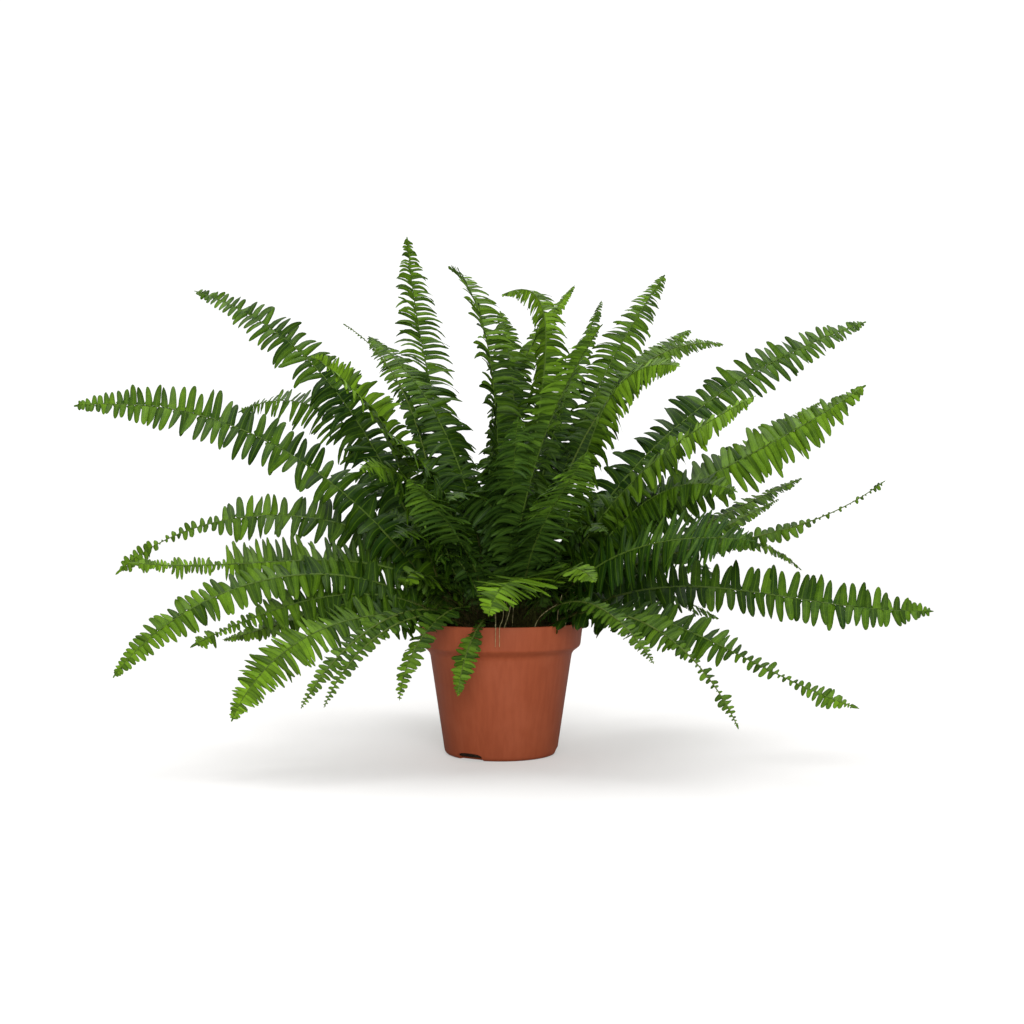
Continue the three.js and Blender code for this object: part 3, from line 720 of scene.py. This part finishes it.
def make_crumbs(material):
    """Crumbs of peat, half sunk: lumps of seeded sizes, stretched and turned at random."""
    rng = np.random.default_rng(SEED + 1)
    shape, faces = lump()
    radius = (RIM_RADIUS - 2 * WALL - 2) * np.sqrt(rng.uniform(0, 1, CRUMBS))
    around = rng.uniform(0, 2 * np.pi, CRUMBS)
    x, y = radius * np.cos(around), radius * np.sin(around)
    centre = np.stack([x, y, soil_height(x, y) + 0.2], -1)
    size = SMALLEST_CRUMB + CRUMB_RANGE * rng.uniform(0, 1, CRUMBS) ** 3
    frames = np.linalg.qr(rng.normal(size=(CRUMBS, 3, 3)))[0]
    frames *= np.sign(np.linalg.det(frames))[:, None, None]
    lumps = shape * rng.uniform(0.7, 1.2, (CRUMBS, 12, 1)) * rng.uniform(0.6, 1.2, (CRUMBS, 1, 3))
    places = centre[:, None] + size[:, None, None] * np.einsum("nij,nkj->nki", frames, lumps)
    piece("soil_crumbs", places.reshape(-1, 3), copies(faces, len(shape), CRUMBS), material,
          "potting_soil", smooth=False)


# ======== Fronds ========
def seat_fronds(fronds):
    """The steepest fronds choose first: each takes the free seat of a sunflower spiral that is nearest
    to the place that it would lean out from."""
    order = np.arange(1, SEATS + 1)
    free = heading(order * GOLDEN_ANGLE) * SEAT_PITCH * np.sqrt(order - 0.5)[:, None]
    for frond in sorted(fronds, key=lambda one: -one.launch):
        distance = CROWN_REACH * math.sqrt(math.cos(math.radians(frond.launch)))
        wish = heading(frond.azimuth - frond.sweep) * distance
        seat = np.argmin(np.linalg.norm(free - wish, axis=-1))
        frond.root = free[seat] + np.array([0, 0, SOIL_TOP + COLLAR])
        free = np.delete(free, seat, 0)


def along_curve(frond, steps):
    """Places and unit directions on the rib's cubic curve at parameters from 0 to 1."""
    t = np.asarray(steps)[..., None]
    a, b, c, d = frond.points
    place = (1 - t) ** 3 * a + 3 * (1 - t) ** 2 * t * b + 3 * (1 - t) * t**2 * c + t**3 * d
    slope = (1 - t) ** 2 * (b - a) + 2 * (1 - t) * t * (c - b) + t**2 * (d - c)
    return place, unit(slope)


def plan_frond(frond):
    """The rib's curve: a cubic from the root to the tip with its two end directions given."""
    tip = heading(frond.azimuth) * frond.reach + np.array([0, 0, frond.rise])
    handle = np.linalg.norm(frond.root - tip) * CURVE_HANDLE
    out = heading(frond.azimuth - frond.sweep, frond.launch) * handle
    back = heading(frond.azimuth + frond.sweep, frond.droop) * handle
    frond.points = [frond.root, frond.root + out, tip - back, tip]
    frond.steps = np.linspace(0, 1, CURVE_STEPS + 1)
    places, _ = along_curve(frond, frond.steps)
    frond.travelled = np.concatenate([[0], np.cumsum(np.linalg.norm(np.diff(places, axis=0), axis=-1))])
    frond.length = frond.travelled[-1]
    frond.bare = BARE_STALK / frond.length


def blade(frond, shares):
    """At shares of the rib's length: the place, and the directions along, across and out of the blade."""
    place, along = along_curve(frond, np.interp(shares * frond.length, frond.travelled, frond.steps))
    side = heading(frond.azimuth + 90)
    level = unit(side - along * (along @ side)[:, None])
    angle = np.radians(frond.roll + frond.twist * shares)[:, None]
    across = level * np.cos(angle) + np.cross(along, level) * np.sin(angle)
    return place, along, across, np.cross(along, across)


def envelope(share, tail):
    """Leaflet length as a share of the longest: it swells from the first leaflets and tapers to the tip,
    or more bluntly to the tail, in a quarter of a sine wave."""
    swell = mix(FIRST_LEAFLET, 1, smoothstep(share, 0, SWELL))
    left = (1 + TIP_MARGIN - share / (1 - tail)) / (BLUNT_TAPER if tail else TAPER)
    taper = np.sin(np.pi / 2 * np.clip(left, 0, 1)) ** TAPER_POWER
    return swell * np.maximum(taper, TAIL_LEAFLET if tail else 0)


def read_bends(frond, node):
    """How the solid's leaflets were bent clear of their neighbours: for each stretch of rib and side, the
    fold and the length for which the leaflet's tip is one of the solid's corners. Length 0 is none."""
    corners = np.empty(len(node.data.vertices) * 3, np.float32)
    node.data.vertices.foreach_get("co", corners)
    corners = np.unique(np.round(corners.reshape(-1, 3) / MM, 2), axis=0)
    pairs = max(FEWEST_PAIRS, round((frond.length - BARE_STALK) / COARSE_PITCH))
    place, along, across, up = blade(frond, mix(frond.bare, 1, np.arange(pairs + 1) / pairs))
    middle = (place[:-1] + place[1:]) / 2
    frond.middles = (np.arange(pairs) + 0.5) / pairs
    full = frond.leaf * envelope(frond.middles, frond.tail)
    stretch, fold = (grid.ravel() for grid in np.meshgrid(COARSE_LENGTHS, COARSE_FOLDS, indexing="ij"))
    angle = np.radians(frond.fold + fold)[None, :, None]
    length = (full[:, None] * stretch)[..., None]
    frond.bends = {}
    for side in (1, -1):
        tips = (middle[:, None] + side * across[:-1, None] * length * np.cos(angle)
                + up[:-1, None] * (length * np.sin(angle) + COARSE_HALF_THICKNESS)
                + along[:-1, None] * LEAFLET_LEAN * length)
        away = np.linalg.norm(tips[:, :, None] - corners, axis=-1).min(-1)
        best = away.argmin(1)
        found = away.min(1) < SAME_PLACE
        frond.bends[side] = np.where(found, fold[best], 0), np.where(found, stretch[best], 0)


def crown_shade(places):
    """How dark a place is for the leaves around it: most in the crown's heart, fading as a bell curve."""
    return HEART_SHADE * np.exp(-(np.linalg.norm(places - CROWN_HEART, axis=-1) / HEART_REACH) ** 2)


def leaflet_midribs(base, out, normal, forward, length, rng):
    """Each leaflet's midrib as the sum of three vectors with powers of s, the share of the way along it.
    On a climbing rib it leans forward, most where it is level, and then sags. It swings a little aside,
    and leans and swings more in the crown."""
    count = len(base)
    aside = np.cross(normal, out)
    down = np.array([0, 0, -1.0]) + out * out[:, 2:]
    steep = np.maximum(forward[:, 2], 0) ** 2
    level = 1 - np.abs(out[:, 2])
    tangle = 1 + CROWN_TANGLE * crown_shade(base)
    lean = (LEAN + STEEP_LEAN * steep * level + rng.normal(0, LEAN_SPREAD, count) * tangle)[:, None]
    sag = ((SAG + STEEP_SAG * steep) * rng.uniform(*SAGS, count))[:, None]
    swing = (rng.normal(0, SWING_SPREAD, count) * tangle)[:, None]
    bends = [((out + forward * lean) * length[:, None], 1), (aside * swing * length[:, None], 2),
             (down * sag * length[:, None], 2.6)]
    return lambda s: base[:, None] + sum(vectors[:, None] * s[None, :, None] ** power
                                         for vectors, power in bends)


def leaflet_places(base, out, normal, forward, length, width, side, rng):
    """Curved lance-shaped leaflets as closed shells. The half width rises at once, narrows evenly and
    rounds off at a blunt end, with an ear on the forward side. The blade is arched across, creased at
    the midrib, waved along its edges, and turns about its midrib towards the end."""
    count = len(base)
    around = round_angles(LEAFLET_AROUND)
    t, rise = np.cos(around)[None, None], np.sin(around)[None, None]
    aside = np.cross(normal, out)
    midrib = leaflet_midribs(base, out, normal, forward, length, rng)

    def each(numbers):
        return numbers.reshape(count, 1, 1)

    def between(limits):
        return each(rng.uniform(*limits, count))

    s = LEAFLET_RINGS[None, :, None]
    turn = each(rng.normal(0, START_TWIST_SPREAD, count))
    turn = turn + each(rng.normal(0, END_TWIST_SPREAD, count)) * s**2
    flat, upright = np.cos(turn)[..., None], np.sin(turn)[..., None]
    wide = aside[:, None, None] * flat + normal[:, None, None] * upright
    high = normal[:, None, None] * flat - aside[:, None, None] * upright
    profile = np.minimum(1, 0.8 + 3 * s) * (1 - between(TAPERS) * s**1.4) * np.sqrt(1 - s**6)
    ear = EAR * np.exp(-(((s - EAR_PLACE) / EAR_REACH) ** 2)) * (t * -each(side) > 0.2)
    half = each(width / 2) * (profile + ear)
    wave = between(WAVES) * t**2
    wave = wave * np.sin(2 * np.pi * (between(WAVE_COUNTS) * s + between((0, 1))) + 1.5 * np.sign(t))
    arch = between(ARCHES) * t**2 + CREASE * np.abs(t)
    thick = LEAFLET_HALF_THICKNESS * rise * (1 - 0.4 * s)
    body = (midrib(LEAFLET_RINGS)[:, :, None] + (half * t)[..., None] * wide
            + (half * (arch + wave) + thick)[..., None] * high)
    return np.concatenate([body.reshape(count, -1, 3), midrib(np.ones(1))], 1)


def leaflet_faces():
    """One leaflet's faces: rings, a fan at the end and a cap at the foot."""
    around, rings = LEAFLET_AROUND, len(LEAFLET_RINGS)
    step = np.arange(around)
    last = (rings - 1) * around
    fan = np.stack([last + step, last + (step + 1) % around, np.full(around, rings * around)], -1)
    foot = [[7, 6, 5, 4], [7, 4, 3, 0], [3, 2, 1, 0]]
    return tube_faces(rings, around), fan, np.array(foot)


def leaflet_marks():
    """Each vertex's place on the leaflet, across and along, how far it is on the underside, and whether
    it is on the leaflet's border."""
    turn = round_angles(LEAFLET_AROUND)
    across, along = np.meshgrid(np.cos(turn) / 2 + 0.5, LEAFLET_RINGS)
    uv = np.concatenate([np.stack([across.ravel(), along.ravel()], -1), [[0.5, 1.0]]])
    under = np.append(np.tile(np.clip(-np.sin(turn) * 1.5, 0, 1), len(LEAFLET_RINGS)), 0.3)
    border = np.append(np.tile(np.abs(np.cos(turn)) > 0.99, len(LEAFLET_RINGS)), True)
    return uv, under, border


def grow_leaflets(frond, rng):
    """Leaflets in two rows, closer towards the tip, bent as the solid's are, and one at the very end. A
    tail's leaflets grow larger and smaller in clumps. The crown's are wider and folded more unevenly."""
    count = round((frond.length - BARE_STALK) / frond.pitch)
    clumps = np.linspace(1 - frond.tail - 0.04, 1, TAIL_CLUMPS)
    growth = rng.uniform(*TAIL_GROWTH, TAIL_CLUMPS) if frond.tail else np.ones(TAIL_CLUMPS)
    growth[[0, -1]] = 1, 1 - frond.tail * 2
    parts = []
    for side in (1, -1):
        jitter = rng.uniform(-PLACE_JITTER, PLACE_JITTER, count)
        step = (np.arange(count) + 0.5 + ROW_OFFSET * side + jitter) / count
        leafy = 1 - (1 - np.clip(step, 0, 1)) ** TIP_CROWDING
        place, along, across, up = blade(frond, mix(frond.bare, 1, leafy))
        folds, lengths = frond.bends[side]
        fold = frond.fold + np.interp(leafy, frond.middles, folds)
        stretch = mix(LEAST_STRETCH, 1, np.interp(leafy, frond.middles, lengths))
        inner = crown_shade(place)
        fold = fold + rng.normal(0, FOLD_SPREAD, count) * (1 + CROWN_TANGLE * inner)
        angle = np.radians(fold)[:, None]
        out = side * across * np.cos(angle) + up * np.sin(angle)
        normal = up * np.cos(angle) - side * across * np.sin(angle)
        length = frond.leaf * frond.long * envelope(leafy, frond.tail) * stretch
        length = length * rng.uniform(*LENGTHS, count)
        length = length * np.interp(leafy, clumps, growth)
        room = frond.pitch * (1 - leafy * CROWDED)
        width = frond.full * room * mix(NARROWEST, WIDEST, np.clip(length / frond.leaf, 0, 1))
        width = width * (1 + CROWN_FULLNESS * inner)
        width = np.minimum(width, length * PLUMPEST)
        parts.append((place, out, normal, along, length, width, np.full(count, float(side)), leafy))
    one = np.ones(1)
    place, along, _, up = blade(frond, one)
    size = frond.leaf * envelope(one, frond.tail)
    parts.append((place, along, up, along * 0, size, size / 2, one, one))
    return [np.concatenate(column) for column in zip(*parts)]


def rib_places(frond):
    """The rib: an oval section carried along the curve from under the soil, thinner to the tip, with a
    groove along its upper face."""
    shares = np.linspace(0, 1, RIB_STEPS)
    place, along, across, up = blade(frond, shares)
    place = np.concatenate([frond.root[None] - [[0, 0, COLLAR + ROOT_DEPTH]], place])
    along = np.concatenate([[[0, 0, 1.0]], along])
    side = heading(frond.azimuth + 90)[None]
    across = np.concatenate([side, across])
    up = np.concatenate([np.cross(along[:1], side), up])
    half = mix(RIB_BASE, RIB_TIP, np.concatenate([[0], shares]))[:, None, None] / 2
    turn = round_angles(RIB_AROUND)
    rise = np.sin(turn) * RIB_RISE
    rise[RIB_AROUND // 4] = RIB_GROOVE
    ring = across[:, None] * np.cos(turn)[:, None] + up[:, None] * rise[:, None]
    return (place[:, None] + half * ring).reshape(-1, 3), len(place)


def grown(frond, node, rng):
    """One frond's places, faces, UVs and values: its rib and then all its leaflets."""
    read_bends(frond, node)
    base, out, normal, forward, length, width, side, leafy = grow_leaflets(frond, rng)
    leaves = leaflet_places(base, out, normal, forward, length, width, side, rng)
    count, each = leaves.shape[:2]
    rib, rings = rib_places(frond)
    faces = closed_tube(rings, RIB_AROUND)
    for part in leaflet_faces():
        faces += [*(len(rib) + copies(part, each, count))]
    uv, under, border = leaflet_marks()
    up_rib = np.repeat(np.linspace(0, 1, rings), RIB_AROUND)
    rib_uv = np.stack([np.tile(np.arange(RIB_AROUND) / RIB_AROUND, rings), up_rib], -1)
    tone = frond.tone * mix(*TONES, leafy) + rng.normal(0, TONE_SPREAD, count)
    shade = rng.uniform(0, 1, count) ** 1.5 * SHADE_RANGE + INNER_SHADE * (1 - leafy) ** 2
    shade = np.clip(shade + crown_shade(base), 0, 1)
    # Ribs: brown at the foot, plus painted shade towards the crown's heart.
    rib_brown_and_shade = np.clip(1 - up_rib * 4 + RIB_SHADE * crown_shade(rib), 0, 1)
    on_rib = np.ones(len(rib))
    values = {
        "tone": (on_rib * frond.tone, np.repeat(tone, each)),
        "shade": (rib_brown_and_shade, np.repeat(shade, each)),
        "rib": (on_rib, np.zeros(count * each)),
        "under": (on_rib * 0, np.tile(under, count)),
        "border": (on_rib == 0, np.tile(border, count)),
    }
    values = {key: np.concatenate(pair) for key, pair in values.items()}
    return (np.concatenate([rib, leaves.reshape(-1, 3)]), faces,
            np.concatenate([rib_uv, np.tile(uv, (count, 1))]), values)


def make_frond(number, group, materials):
    """One frond and the shoots that grow from its foot, in one mesh. Materials are the full frond's and
    the narrow frond's."""
    rng = np.random.default_rng(SEED + 100 + number)
    name = f"frond_{number:02d}"
    places, faces, uvs, values = zip(*(grown(frond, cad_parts[name], rng) for frond in group))
    starts = np.cumsum([0] + [len(part) for part in places])
    every = [face + start for start, part in zip(starts, faces) for face in part]
    narrow = group[0].leaf < NARROW_LEAF
    values = {key: np.concatenate([part[key] for part in values]) for key in values[0]}
    made = piece(f"leafy_{name}", np.concatenate(places), every, materials[narrow],
                 "young_frond" if narrow else "frond", uv=np.concatenate(uvs), **values)
    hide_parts(name)


# ======== Scales and runners ========
def make_scales(fronds, material):
    """Brown hair-like scales on the foot of each stalk: three-sided spikes that point up and out."""
    rng = np.random.default_rng(SEED + 2)
    places = []
    for frond in fronds:
        share = rng.uniform(0, 1, SCALES_PER_STALK) ** 1.6 * SCALED_STALK / frond.length
        place, along, across, up = blade(frond, share)
        turn = rng.uniform(0, 2 * np.pi, SCALES_PER_STALK)[:, None]
        out = across * np.cos(turn) + up * np.sin(turn)
        beside = np.cross(along, out)
        foot = place + out * RIB_BASE * 0.42
        size = rng.uniform(*SCALE_SIZES, SCALES_PER_STALK)[:, None]
        tip = foot + size * unit(along + out * rng.uniform(0.3, 1.1, (SCALES_PER_STALK, 1)))
        half = beside * SCALE_HALF_WIDTH
        places.append(np.stack([foot + half, foot - half, foot + along * 0.5, tip], 1))
    places = np.concatenate(places)
    spike = np.array([[0, 2, 1], [0, 1, 3], [1, 2, 3], [2, 0, 3]])
    faces = copies(spike, 4, len(places))
    piece("stalk_scales", places.reshape(-1, 3), faces, material, smooth=False)


def make_thatch(name, count, height, girth, material, rng):
    """Old stalks or hairs round the crown: four-sided spikes that stand in the soil, lean out and curl
    over with the square of the way up, and thin towards their ends."""
    radius = THATCH_RADIUS * np.sqrt(rng.uniform(0, 1, count))
    turn = rng.uniform(0, 2 * np.pi, count)
    x, y = radius * np.cos(turn), radius * np.sin(turn)
    foot = np.stack([x, y, soil_height(x, y) - THATCH_DEPTH], -1)
    tall = height * rng.uniform(*THATCH_HEIGHTS, count)[:, None, None]
    lean = heading(np.degrees(turn) + rng.normal(0, THATCH_TURN_SPREAD, count))
    lean = lean * (radius / THATCH_RADIUS)[:, None]
    lean = lean + rng.normal(0, THATCH_LEAN_SPREAD, (count, 3)) * (1, 1, 0)
    s = np.linspace(0, 1, THATCH_RINGS)[None, :, None]
    line = foot[:, None] + tall * (s * np.array([0, 0, 1.0]) + lean[:, None] * s**2)
    around = round_angles(THATCH_AROUND)
    ring = np.stack([np.cos(around), np.sin(around), 0 * around], -1)
    half = (girth / 2 * rng.uniform(*THATCH_GIRTHS, count))[:, None, None, None]
    places = line[:, :, None] + half * (1 - THATCH_TAPER * s[..., None]) * ring
    faces = copies(closed_tube(THATCH_RINGS, THATCH_AROUND), THATCH_RINGS * THATCH_AROUND, count)
    piece(name, places.reshape(-1, 3), faces, material)


def threaded(points, radius):
    """A thread: a round section carried along the smooth curve through hand-set points, each joined to
    the next by the cubic that passes through both and looks at their neighbours."""
    points = np.array(points, float)
    ends = np.concatenate([2 * points[:1] - points[1:2], points, 2 * points[-1:] - points[-2:-1]])
    t = np.linspace(0, 1, RUNNER_STEPS, endpoint=False)[:, None]
    parts = []
    for n in range(len(points) - 1):
        a, b, c, d = ends[n:n + 4]
        parts.append(0.5 * (2 * b + (c - a) * t + (2 * a - 5 * b + 4 * c - d) * t**2
                            + (3 * b - a - 3 * c + d) * t**3))
    line = np.concatenate([*parts, points[-1:]])
    along = unit(np.gradient(line, axis=0))
    across = unit(np.cross(along, [0.2, 1, 0.1]))
    up = np.cross(along, across)
    turn = round_angles(RUNNER_AROUND)
    ring = across[:, None] * np.cos(turn)[:, None] + up[:, None] * np.sin(turn)[:, None]
    taper = np.linspace(1, RUNNER_END, len(line))[:, None, None]
    places = (line[:, None] + radius * taper * ring).reshape(-1, 3)
    return places, closed_tube(len(line), RUNNER_AROUND)


def make_runners(material):
    """Thread-like runners that arch out of the crown and hang over the front of the rim."""
    routes = [
        ([(-4, -44, 102), (-5, -56, 138), (-4, -70, 140), (-3.6, -74, 118), (-4, -73.5, 97)], 0.27),
        ([(4, -42, 102), (5, -54, 134), (4, -68, 137), (2, -73, 120), (-0.5, -73, 112),
          (-0.6, -73, 97)], 0.26),
        ([(9, -43, 102), (11, -56, 136), (10, -68, 140), (7, -73, 124), (3, -73.4, 112)], 0.27),
        ([(26, -44, 102), (30, -50, 116), (37, -56, 124), (46, -58, 130)], 0.4),
        ([(44, -46, 101), (46, -50, 112), (47, -54, 124), (50, -56, 138)], 0.4),
        ([(50, -40, 101), (53, -46, 112), (55, -50, 126), (60, -52, 140)], 0.4),
    ]
    for number, (route, radius) in enumerate(routes, 1):
        piece(f"runner_{number}", *threaded(route, radius), material)


# ======== Studio ========
def make_front_lamp():
    """A square lamp in front, turned to the plant."""
    lamp = bpy.data.lights.new("front lamp", "AREA")
    lamp.shape = "SQUARE"
    lamp.size = 1
    lamp.energy = FRONT_LAMP
    x, y, z = np.subtract(LAMP_AIM, LAMP_PLACE)
    tilt = math.atan2(z, math.hypot(x, y)) + math.pi / 2
    put("front lamp", lamp, LAMP_PLACE, (tilt, 0, math.atan2(y, x) - math.pi / 2))


def make_sky():
    """A white surround that lights the plant more softly than it shows."""
    world = bpy.data.worlds.new("white room")
    bpy.context.scene.world = world
    world.use_nodes = True
    tree = world.node_tree
    seen = add(tree, "ShaderNodeLightPath").outputs["Is Camera Ray"]
    inputs = {"Value": seen, "To Min": AMBIENT, "To Max": SKY_SEEN}
    strength = add(tree, "ShaderNodeMapRange", inputs).outputs[0]
    background = tree.nodes["Background"]
    background.inputs["Color"].default_value = (1, 1, 1, 1)
    tree.links.new(strength, background.inputs["Strength"])
    sun = bpy.data.lights.new("overhead light", "SUN")
    sun.energy = OVERHEAD
    sun.angle = math.radians(OVERHEAD_SPREAD)
    put("overhead light", sun, turn=(math.radians(OVERHEAD_TILT), 0, 0))


def make_studio():
    """A white floor, white surroundings, a wide light overhead and a soft lamp in front."""
    bpy.context.scene.view_settings.view_transform = "Standard"
    make_sky()
    material, tree = new_material("white floor")
    seen = add(tree, "ShaderNodeLightPath").outputs["Is Camera Ray"]
    shader = add(tree, "ShaderNodeBsdfPrincipled", {
        "Base Color": mix_colour(tree, seen, FLOOR_BOUNCE, FLOOR_SEEN), "Roughness": 0.9,
        "Specular IOR Level": 0, "Emission Color": FLOOR_LIGHT,
        "Emission Strength": times(tree, seen, FLOOR_GLOW)})
    show(tree, shader.outputs[0])
    corners = np.array([(-1, -1, 0), (1, -1, 0), (1, 1, 0), (-1, 1, 0)])
    mesh = mesh_from("floor", corners * FLOOR_REACH, [[0, 1, 2, 3]])
    mesh.materials.append(material)
    floor = put("floor", mesh)
    make_front_lamp()


def make_camera():
    """Level, 205 mm above the table, with a 50 mm lens on a 36 mm sensor."""
    camera = bpy.data.cameras.new("camera")
    camera.lens = 50
    camera.sensor_width = 36
    bpy.context.scene.camera = put("camera", camera, (0.0094, -1.212, 0.205), (math.pi / 2, 0, 0))


# ======== The whole plant ========
def make_fern():
    """The fronds with their shoots, and what grows round the crown."""
    fronds = [SimpleNamespace(**USUAL | dict(zip(COLUMNS, row))) for row in FRONDS]
    seat_fronds(fronds)
    shoots = [SimpleNamespace(**dict(zip(SHOOT_COLUMNS, row)), **SHOOT_LOOKS) for row in SHOOTS]
    for shoot in shoots:
        shoot.root = fronds[shoot.foot - 1].root
    for frond in fronds + shoots:
        plan_frond(frond)
    surface = leaf_surface_group()
    leaves = [leaf_material("frond leaf", surface, LEAF),
              leaf_material("narrow frond leaf", surface, NARROW)]
    for number, frond in enumerate(fronds, 1):
        group = [frond, *(shoot for shoot in shoots if shoot.foot == number)]
        make_frond(number, group, leaves)
    make_scales(fronds, stem_material("brown scales", SCALE, 0.7))
    rng = np.random.default_rng(SEED + 3)
    make_thatch("old_stalks", OLD_STALKS, OLD_STALK_HEIGHT, OLD_STALK_GIRTH,
                stem_material("old stalks", OLD_STALK, 0.8), rng)
    make_thatch("crown_hairs", CROWN_HAIRS, HAIR_HEIGHT, HAIR_GIRTH,
                stem_material("crown hairs", CROWN_HAIR, 0.8), rng)
    make_runners(stem_material("pale runners", RUNNER, 0.6))


make_pot()
peat = soil_material()
make_soil(peat)
make_crumbs(peat)
make_fern()
make_studio()
make_camera()
